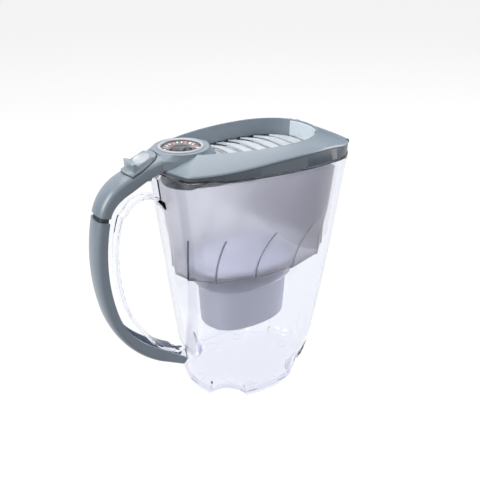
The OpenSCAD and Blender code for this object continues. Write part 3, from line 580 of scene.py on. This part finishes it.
def oval_towards(a, b):
    """An oval with one point for each point of the jug's rim, in its direction from the cartridge."""
    return blunt_oval(a, b, np.arctan2(RIM[:, 1] / b, (RIM[:, 0] - CART_X) / a))


def funnel_plan(t):
    return [mix_of(foot, top, t) for foot, top in zip(FUNNEL_FOOT, FUNNEL_TOP)]


def funnel_ring(z, d):
    """The funnel at height z. Near its lower edge it is a polygon whose folds lean forward as they rise."""
    t = (z - FUNNEL_LOW) / (RIM_Z - FUNNEL_LOW)
    u = min(1, max(0, (z - FUNNEL_LOW) / (FOLD_Z - FUNNEL_LOW)))
    low, high = funnel_plan(0), funnel_plan(t)
    half = []
    for i in range(HALF_N + 1):
        h = i / FINE
        g = max(0, h - LEAN * u * math.sin(math.pi * h / FOLDS[-1]))
        k = max(j for j in range(len(FOLDS) - 1) if FOLDS[j] <= h)
        f = (h - FOLDS[k]) / (FOLDS[k + 1] - FOLDS[k])
        start, end = (np.array(half_point(low, FOLDS[j], COARSE)) for j in (k, k + 1))
        p = mix_of(start, end, f)
        p = p * (1 + FOLD_OUT * (f - 0.6 if f > 0 or h == 0 else 0.4) / math.hypot(*p))
        half.append(mix_of(p, np.array(half_point(high, g, COARSE)), u))
    return lift(inset(both_halves(half), d), z)


def flange_ring(d, dz):
    wall, edge = funnel_ring(RIM_Z, 0)[:, :2], inset(RIM, d)
    on = np.array([1 if x < 0 else ramp(abs(y), 38, 47) for x, y in RIM])[:, None]
    return at_rim(wall + (edge - wall) * on, dz)


def funnel_edge(d, dz):
    return funnel_ring(FUNNEL_LOW, d) + [0, 0, dz]


def collar(out, z):
    """The oval collar's ring at height z, out from the cartridge."""
    return lift(oval_towards(CART_A + out, CART_B + out), z)


slopes = list(np.linspace(FUNNEL_LOW + 4, FOLD_Z, 14)) + [190, 205, 218]
top = at_rim(funnel_ring(RIM_Z, 0)[:, :2], -3)
inside = funnel_ring(RIM_Z, FUNNEL_WALL)[:, :2]
points, faces = shell_mesh(
    [collar(3.4, COLLAR_LOW), collar(3.4, COLLAR_TOP),
     funnel_edge(2.2, 0), funnel_edge(0.5, 0.5), funnel_edge(0, 1.6)]
    + [funnel_ring(z, 0) for z in slopes]
    + [top, flange_ring(3.4, 0.3), flange_ring(0.6, 0.3), flange_ring(0.6, 1.5), flange_ring(3.4, 1.5),
       at_rim(inside, 1.5), at_rim(inside, -3)]
    + [funnel_ring(z, FUNNEL_WALL) for z in slopes[::-1]]
    + [funnel_edge(FUNNEL_WALL, 3.4), collar(4.4, 129.4), collar(1.6, 129), collar(1.6, COLLAR_LOW)])
funnel = solid("funnel_tinted", points, faces)
smooth(funnel, 24)


def smoky_plastic_painted_shade():
    """The funnel's clear plastic with painted shade, set by where it lies, in metres: in its front half,
    above the line on which its floor slopes down to the front, darker towards the front; elsewhere darker
    towards its lower edge."""
    material = clear_plastic("lilac_grey_clear", (0.70, 0.70, 0.745), 0.28, 1.38, ripple=0.0)
    tree = material.node_tree
    where = tree.nodes.new("ShaderNodeTexCoord").outputs["Object"]
    along = tree.nodes.new("ShaderNodeVectorMath")
    along.operation = "DOT_PRODUCT"
    along.inputs[1].default_value = (1, 0, -0.5)
    tree.links.new(where, along.inputs[0])
    # Painted shade: darker towards the front and the bottom
    front_painted_shade = ramp_of(tree, mapped(tree, along.outputs["Value"], -0.18, 0.0),
                   (0, (0.95, 0.95, 0.97)), (1, (0.34, 0.335, 0.39)),
                   (0.5, (0.84, 0.835, 0.875)), (0.8, (0.47, 0.465, 0.52)))
    place_of = tree.nodes.new("ShaderNodeSeparateXYZ")
    tree.links.new(where, place_of.inputs[0])
    x, z = place_of.outputs["X"], place_of.outputs["Z"]
    # Painted shade: darker towards the lower edge
    low_edge_painted_shade = ramp_of(tree, mapped(tree, z, 0.129, 0.172, how="SMOOTHSTEP"),
                   (0, (0.74, 0.735, 0.78)), (1, (0.93, 0.925, 0.95)))
    slope = maths(tree, "SUBTRACT", maths(tree, "MULTIPLY", x, 4.5), 0.94)
    over_floor = maths(tree, "SUBTRACT", z, maths(tree, "MULTIPLY", slope, x))
    above = mapped(tree, over_floor, 0.1779, 0.1793, how="SMOOTHSTEP")
    in_front = mapped(tree, x, -0.0228, -0.0216, how="SMOOTHSTEP")
    tint = tree.nodes.new("ShaderNodeMix")
    tint.data_type = "RGBA"
    tree.links.new(maths(tree, "MULTIPLY", above, in_front), tint.inputs[0])
    # An RGBA mix takes its two colours at sockets 6 and 7 and gives the result at 2
    tree.links.new(low_edge_painted_shade, tint.inputs[6])
    tree.links.new(front_painted_shade, tint.inputs[7])
    shader = next(n for n in tree.nodes if n.type == "BSDF_PRINCIPLED")
    tree.links.new(tint.outputs[2], shader.inputs["Base Color"])
    return material


place(funnel, "funnel", smoky_plastic_painted_shade(), "lilac_plastic", "funnel")
# Painted shade: a dark tint on the faces along the folds and along the lower edge, where light is lost
funnel.data.materials.append(clear_plastic("lilac_grey_crease_painted_shade", (0.07, 0.07, 0.09), 0.2, 1.38))
EDGE_ROWS, FOLD_ROWS = range(2, 4), range(2, 18)
fold_columns = [col for k in FOLDS[1:-1] for col in (k * FINE - 1, RING_N - k * FINE)]
creases = [row * RING_N + col for row in EDGE_ROWS for col in range(RING_N)]
creases += [row * RING_N + col for row in FOLD_ROWS for col in fold_columns]
for face in creases:
    funnel.data.polygons[face].material_index = 1

# Under the flange a dark tongue at each back corner steadies the funnel in the jug
dark = slate_plastic("tongue_dark", (0.012, 0.014, 0.018), 0.5)
# Its depth under the rim at these points of the rim, counted from the middle of the back
TONGUE_AT, TONGUE_LOW = (2, 4, 8, 14, 20, 24, 28, 32), (6.5, 9.2, 10.2, 9.2, 7.3, 6.2, 4, 0.3)
for side in ("near", "far"):
    rings = []
    for i in range(TONGUE_AT[0], TONGUE_AT[-1] + 1):
        low = float(np.interp(i, TONGUE_AT, TONGUE_LOW))
        at = HALF_N + i if side == "near" else HALF_N - i
        top = rim_height()[at] + 0.2
        (x0, y0), (x1, y1) = inset(RIM, WALL + 0.7)[at], inset(RIM, WALL + 1.7)[at]
        rings.append(np.array([(x0, y0, top), (x0, y0, top - low), (x1, y1, top - low), (x1, y1, top)]))
    tongue = solid(side + "_tongue", *shell_mesh(rings, ends="flat"))
    smooth(tongue, 40)
    place(tongue, "funnel", dark, "lilac_plastic")

# ---------------------------------------------------------------- filter cartridge
# An oval drop-in pot of milky polypropylene that tapers to its slotted foot, filled with granules.
# The shell is rebuilt smooth here; its cap, grate, screen, seal and filling keep their own solids.

CART_LOW, CART_TOP, TAPER, SHELL_T, FOOT_R = 64, 127, 3, 1.6, 4


def pot_ring(d, z):
    """The pot's plan at height z, d inside the outline of its top."""
    return lift(blunt_oval(CART_A - d, CART_B - d, np.linspace(0, 2 * math.pi, 128, endpoint=False)), z)


def milky_plastic(name, colour, roughness=0.42, glow=0.35):
    """Cloudy plastic: light sinks in and comes back out, and its gloss is soft and uneven."""
    material, tree, shader, _ = finish_of(name, {
        "Roughness": roughness, "Subsurface Weight": glow, "Subsurface Radius": (1, 1, 1),
        "Subsurface Scale": 0.004})
    cloud = noise(tree, 35, 4)
    clouded(shader, tree, cloud, colour, ((0.3, 0.96), (0.75, 1.03)), roughness, (0.85, 1.15))
    roughened(shader, tree, cloud, 0.04, 0.0004)
    return material


def dress(node, material):
    """Gives a solid that is shown as it is a better material."""
    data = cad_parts[node].data
    data.materials.clear()
    data.materials.append(material)


rounded = [pot_ring(TAPER + FOOT_R * (1 - math.sin(t)), CART_LOW + FOOT_R * (1 - math.cos(t)))
           for t in np.linspace(0, math.pi / 2, 7)]
points, faces = shell_mesh(
    rounded + [pot_ring(0.3, CART_TOP - 3), pot_ring(0, CART_TOP), pot_ring(SHELL_T, CART_TOP),
               pot_ring(TAPER + SHELL_T, CART_LOW + 5), pot_ring(TAPER + FOOT_R, CART_LOW + 2.4)])
pot = solid("cartridge_pot", points, faces)
smooth(pot, 35)
milky = milky_plastic("milky_polypropylene", (0.27, 0.28, 0.33))
place(pot, "cartridge", milky, "milky_plastic", "cartridge_shell")
dress("cartridge_grate", milky)
# Painted light: the cap is paler than the pot, to make up for the light that the funnel and lid keep from it
dress("cartridge_cap", milky_plastic("cap_painted_light", (0.66, 0.67, 0.72), 0.5, 0.1))
dress("cartridge_media", milky_plastic("packed_granules", (0.35, 0.37, 0.40), 0.8, 0.0))
dress("cartridge_screen", milky_plastic("felt_screen", (0.75, 0.75, 0.73), 0.9, 0.1))
dress("cartridge_seal", milky_plastic("soft_seal", (0.62, 0.66, 0.70), 0.5, 0.2))

# ---------------------------------------------------------------- lid
# A slate moulding: the brow round the fill well, the raised platform for the counter and the upper
# half of the handle in one piece. Its underside tray holds the slats' bearings.

LID_FRONT, LID_OVER, LID_WALL, CREST, WELL_LOW = 89, 1.8, 2.2, 254, 237.3
lid_line = np.column_stack([np.minimum(RIM[:, 0], LID_FRONT), RIM[:, 1]])
WELL = outline([74, 18, 42.7, -60, 25.5, -66, 2.2, 2])
BROW_LOW, BROW_RISE, BROW_FALL, BROW_IN = 243, 5.4, 2.4, 3.7


def leaned(d):
    """The lid's outline d inside its edge, with its sides leaning in at their middle."""
    lean = np.array([ramp(x, -70, 10) * (1 - ramp(x, 62, 86)) for x in lid_line[:, 0]])[:, None]
    return inset(lid_line, d) * (1 - lean) + inset(lid_line, d + BROW_IN) * lean


def brow_height(x):
    return BROW_LOW + BROW_RISE * ramp(x, -66, 42) - BROW_FALL * ramp(x, 52, 84)


def brow(d, dz):
    return lift(leaned(d), np.array([brow_height(x) for x in lid_line[:, 0]]) + dz)


def round_well(out, z):
    return lift(inset(WELL, -out), z)


points, faces = shell_mesh(
    [at_rim(inset(lid_line, 0.5), LID_OVER), at_rim(inset(lid_line, 0.45), LID_OVER + 0.4),
     brow(0.3, -2.4), brow(0, -1.6), brow(0.25, -0.7), brow(0.9, 0),
     round_well(2.6, CREST - 1.1), round_well(1.5, CREST - 0.45), round_well(0.7, CREST),
     round_well(0.15, CREST - 0.3), lift(WELL, CREST - 0.9), lift(WELL, WELL_LOW),
     round_well(LID_WALL, WELL_LOW), round_well(LID_WALL + 0.4, CREST - 3.4),
     brow(LID_WALL + 0.6, -LID_WALL), at_rim(inset(lid_line, LID_WALL), LID_OVER)])
lid = solid("lid_slate", points, faces)


def post(x, r, *levels):
    """Points round an upright post at each of its levels."""
    turns = np.linspace(0, 2 * math.pi, 64, endpoint=False)
    return [(x + r * math.cos(t), r * math.sin(t), z) for z in levels for t in turns]


def hull_of(name, points):
    """The taut skin over a set of points."""
    bm = bmesh.new()
    for p in points:
        bm.verts.new(np.array(p) * MM)
    bmesh.ops.convex_hull(bm, input=bm.verts)
    bmesh.ops.delete(bm, geom=[v for v in bm.verts if not v.link_faces], context="VERTS")
    bmesh.ops.dissolve_limit(bm, angle_limit=0.01, verts=bm.verts, edges=bm.edges)
    mesh = bpy.data.meshes.new(name)
    bm.to_mesh(mesh)
    bm.free()
    return put_in(name, mesh)


def block(name, low, high):
    (x0, y0, z0), (x1, y1, z1) = low, high
    return slab(name, [(x0, z0), (x1, z0), (x1, z1), (x0, z1)], y0, y1)


DIAL_X, CROWN_L, CROWN_DEPTH, NECK_W, NECK_DEPTH = -63.5, 37, 13.4, 34, 11.2
FLAP_X, FLAP_Z, EAR_Y = 91.2, 243.2, 37.8
# The seam between the handle's halves, 1.2 mm wide, as an angle at the heel's radius
SEAM_TURN = 1.2 / HEEL_R * 57.3


def crown_width(s):
    """The handle's width at s along its straight crown, where it widens into the neck."""
    return mix_of(GRIP_W, NECK_W, ramp(s, 12, CROWN_L) ** 1.4)


pod = hull_of("pod", post(DIAL_X, 24.5, 246, 255) + post(-40, 2, 246, 255)
              + post(-30, 3, 240.5, 241.5) + post(DIAL_X, 26.5, 240.5, 241.5))
neck_foot = [(-88.6, 16.8), (-84, 19.6), (-78, 21.8), (-72, 22.6)]
neck_top = [(-88.6, 8), (-85, 13), (-79, 18.5), (-72, 21)]
neck = hull_of("neck", [(x, s * y, z) for s in (-1, 1) for ps, levels in
                        ((neck_foot, (BROW_LOW, BROW_LOW + 7.4)), (neck_top, (254.2, 255)))
                        for x, y in ps for z in levels])
stations = [(HEEL_A, -s, crown_width(s), mix_of(CROWN_DEPTH, NECK_DEPTH, s / CROWN_L))
            for s in np.linspace(CROWN_L, 1.5, 20)]
stations += [(a, 0, GRIP_W, mix_of(CROWN_DEPTH, GRIP_DEPTH, ramp(a, HEEL_A, 70)))
             for a in np.linspace(HEEL_A, SEAM_A - SEAM_TURN, 28)]
crown = solid("crown", *channel_mesh(stations))
ears = [drum("ear", (FLAP_X, y, FLAP_Z), 2.6, 3, "y") for y in (-EAR_Y, EAR_Y)]
ears += [block("ear_root", (86.8, y - 1.5, 240.6), (FLAP_X, y + 1.5, 245.8)) for y in (-EAR_Y, EAR_Y)]
weld(lid, [pod, neck, crown] + ears)
cuts = [drum("counter_seat", (DIAL_X, 0, 257.2), 19.3, 20, sides=96),
        block("bar_room", (-88, -4, 230), (-38, 4, 245.7)),
        drum("pod_room", (DIAL_X, 0, 237.85), 21.5, 15.7),
        block("bar_way", (-96, -4, 236), (-76, 4, 244.6)),
        block("slider_way", (-115.8, -4, 236), (-101.4, 4, 256)),
        drum("slat_room", (-23.36, 0, 234.8), 11.7, 75, "y"),
        drum("flap_bore", (FLAP_X, 0, FLAP_Z), 1.36, 100, "y")]
weld(lid, cuts, "DIFFERENCE")
smooth(lid, 28)
place(lid, "lid", slate, "slate_plastic", "lid_shell")
# Painted shade: the skirt under the brow is undercut and takes little light, so its faces get a darker slate
lid.data.materials.append(slate_plastic("skirt_painted_shade", (0.062, 0.078, 0.094), 0.35))
for face in lid.data.polygons:
    x, y, z = face.center / MM
    outside = face.normal.x * x + face.normal.y * y > 0.3 * math.hypot(x, y)
    at_edge = np.hypot(*(lid_line - [x, y]).T).min() < 9
    if z < brow_height(x) - 1.9 and outside and at_edge and abs(face.normal.z) < 0.55:
        face.material_index = 1
dress("lid_tray", slate_plastic("tray_dark", (0.085, 0.10, 0.115), 0.4))

# ---------------------------------------------------------------- spout flap
# A small moulded slate flap that keeps dust out of the spout.
# It hangs on two pins in the lid's ears and swings up as water pours.

dress("spout_flap", slate)

# ---------------------------------------------------------------- louvre shutter
# Seven slats moulded in cloudy white plastic close the fill well.
# They turn on pins in the tray when the bar under them is drawn back.

SLATS = 7
frosted = milky_plastic("frosted_slat", (0.40, 0.43, 0.46), 0.55, 0.25)
for k in range(1, SLATS + 1):
    dress(f"shutter_slat_{k}", frosted)
dress("shutter_bar", frosted)
dress("well_front_screen", milky_plastic("frosted_screen", (0.50, 0.56, 0.60), 0.3, 0.4))

# ---------------------------------------------------------------- thumb slider
# The thumb piece that works the shutter: a plate that wraps over the handle's crown, with a bowl
# sunk in it, a lip stood up at its rear and two stems below that carry the bar's pin.

SLIDER_OVER, SLIDER_ENDS, SLIDER_HALF, BOWL_S, BOWL_LOW = 0.35, (4, 35), 11, 22.5, 0.8
# The flat saddle round the bowl and the lip behind it stand this high over the crown; the lip bows by
# LIP_BOW times the square of the distance from its middle
SADDLE, LIP_TOP, LIP_BOW = 2.7, 7.2, 0.012


def crown_drop(s, y):
    """How far the crown lies under its middle line, s along it and y to the side."""
    q = min(1, abs(y) / (crown_width(s) / 2))
    return DROP * (1 - math.sqrt(1 - q * q)) ** LATE


def in_bowl(s, y):
    """Distance from the bowl's middle, one at its edge."""
    return math.hypot((s - BOWL_S) / (8.2 if s > BOWL_S else 6.8), y / 8.8)


def thumb_top(s, y, v):
    """Height of the thumb piece's upper side over the crown's middle line."""
    top = SLIDER_OVER + 1.0 + 0.5 * (1 - v ** 4) - crown_drop(s, y)
    saddle = (1 - ramp(abs(y), 9.2, 10.6)) * (1 - ramp(s, 29.5, 33.5)) * ramp(s, 9.6, 10.4)
    top += max(0, SADDLE - top) * saddle
    run = s - LIP_BOW * y * y
    lip = ramp(run, 16.5, 11.9) * ramp(run, 9.7, 10.6) * (1 - ramp(abs(y), 9.7, 10.5))
    top += max(0, LIP_TOP - LIP_BOW * y * y - top) * lip
    return BOWL_LOW + (top - BOWL_LOW) * min(1, in_bowl(s, y)) ** 2.4


def thumb_mesh(more, under):
    """The plate, more wider and longer than it is; under is the thickness of a plain sheet below it."""
    near, far = SLIDER_ENDS
    runs = np.concatenate([
        np.linspace(near - more, 9.2, 8), np.linspace(9.4, 12.2, 18), np.linspace(12.6, 31, 56),
        far + more - (3.8 + more) * np.linspace(0.97, 0, 16) ** 2])
    rings = []
    for s in runs:
        half = (SLIDER_HALF + more) * (1 - max(0, (s - 22) / (far + more + 0.2 - 22)) ** 3) ** (1 / 3)
        low, high = [], []
        for v in np.sin(np.linspace(-math.pi / 2, math.pi / 2, 73)):
            y = half * v
            at = s + 0.022 * y * y * (1 - ramp(s, near - more, 9))
            floor = SLIDER_OVER - crown_drop(at, y)
            n0, n1 = (floor - under - 0.05, floor - 0.05) if under else (floor, thumb_top(at, y, v))
            (x0, z0), (x1, z1) = spine(HEEL_A, -n0, -at), spine(HEEL_A, -n1, -at)
            low.append((x0, y, z0))
            high.append((x1, y, z1))
        rings.append(np.array(low + high[::-1]))
    return shell_mesh(rings, ends="across")


thumb = solid("thumb_slider_smooth", *thumb_mesh(0, 0))
stems = [slab("stem", [(-104.6, 235.2), (-101.8, 235.2), (-101.8, 248.8), (-104.6, 247.6)], y - 0.8, y + 0.8)
         for y in (-2.4, 2.4)]
weld(thumb, stems + [drum("pin", (-103.2, 0, 237), 1.1, 6.4, "y")])
smooth(thumb, 38)
thumb_slate = slate_plastic("thumb_slate", (0.185, 0.225, 0.26), 0.3)
place(thumb, "slider", thumb_slate, "light_slate_plastic", "thumb_slider")
# Painted highlight: the bowl is paler, for the light that it catches. Its faces are found by their run along
# the crown and their height over it
thumb.data.materials.append(slate_plastic("thumb_bowl_painted_highlight", (0.36, 0.385, 0.41), 0.25))
heel = spine(HEEL_A, 0)
slope_cos, slope_sin = math.cos(math.radians(HEEL_A)), math.sin(math.radians(HEEL_A))
for face in thumb.data.polygons:
    x, y, z = np.array(face.center) / MM - [heel[0], 0, heel[1]]
    run, over = x * slope_cos + z * slope_sin, z * slope_cos - x * slope_sin
    if over > BOWL_LOW - 0.1 and in_bowl(run, y) < 0.97:
        face.material_index = 1
# Painted shadow: a dark sheet under the plate, a little wider than it, shows as the shadow in the gap round
# it
gap = solid("thumb_gap_painted_shadow", *thumb_mesh(0.6, 0.15))
smooth(gap, 38)
place(gap, "slider", slate_plastic("gap_painted_shadow", (0.02, 0.025, 0.03), 0.5), "light_slate_plastic")

# ---------------------------------------------------------------- usage counter
# A dial under a clear lens, set in a bright ring and pressed into the lid's raised platform.
# A black pointer disc and a ratchet wheel turn on its post; an orange spring clicks on the ratchet.

dress("counter_cup", slate_plastic("cup_dark", (0.04, 0.045, 0.055), 0.4))
dress("counter_scale", milky_plastic("dial_dark", (0.035, 0.037, 0.045), 0.3, 0.0))
dress("counter_pointer", slate_plastic("dial_black", (0.01, 0.01, 0.012), 0.35))
dress("counter_ratchet", milky_plastic("ratchet_white", (0.72, 0.72, 0.74), 0.4, 0.0))
dress("counter_click_spring", slate_plastic("spring_orange", (0.75, 0.10, 0.02), 0.4))
dress("counter_lens", clear_plastic("lens_clear", (0.98, 0.985, 0.99), 0.0, 1.12, 0.0))
dress("counter_ring", slate_plastic("bright_ring", (0.34, 0.35, 0.38), 0.12))
# Printed ticks stand a hair above the dial, every third one longer and orange
DIAL_TOP, TICKS, TICK_HALF, TICK_OUT, TICK_IN, LONG_TICK_IN = 252.6, 24, 0.4, 16, 13, 11


def tick_mesh(turn, inner):
    along, across = np.array([math.cos(turn), math.sin(turn)]), np.array([-math.sin(turn), math.cos(turn)])
    corners = [[DIAL_X, 0] + r * along + side * TICK_HALF * across
               for r, side in ((inner, -1), (TICK_OUT, -1), (TICK_OUT, 1), (inner, 1))]
    return shell_mesh([np.array([(*c, DIAL_TOP + up) for c in corners]) for up in (0.02, 0.14)], ends="flat")


ticks = {"tick_white": [], "tick_orange": []}
for k in range(TICKS):
    long = k % 3 == 0
    tick = tick_mesh(2 * math.pi * k / TICKS, LONG_TICK_IN if long else TICK_IN)
    ticks["tick_orange" if long else "tick_white"].append(tick)
for name, colour, slot in (("tick_white", (0.8, 0.8, 0.82), "dial_white"),
                           ("tick_orange", (0.75, 0.16, 0.05), "spring_orange")):
    points = np.vstack([p for p, _ in ticks[name]])
    faces = [tuple(v + 8 * i for v in f) for i, (_, fs) in enumerate(ticks[name]) for f in fs]
    place(solid(name, points, faces), "lid", milky_plastic(name + "_ink", colour, 0.4, 0.0), slot)
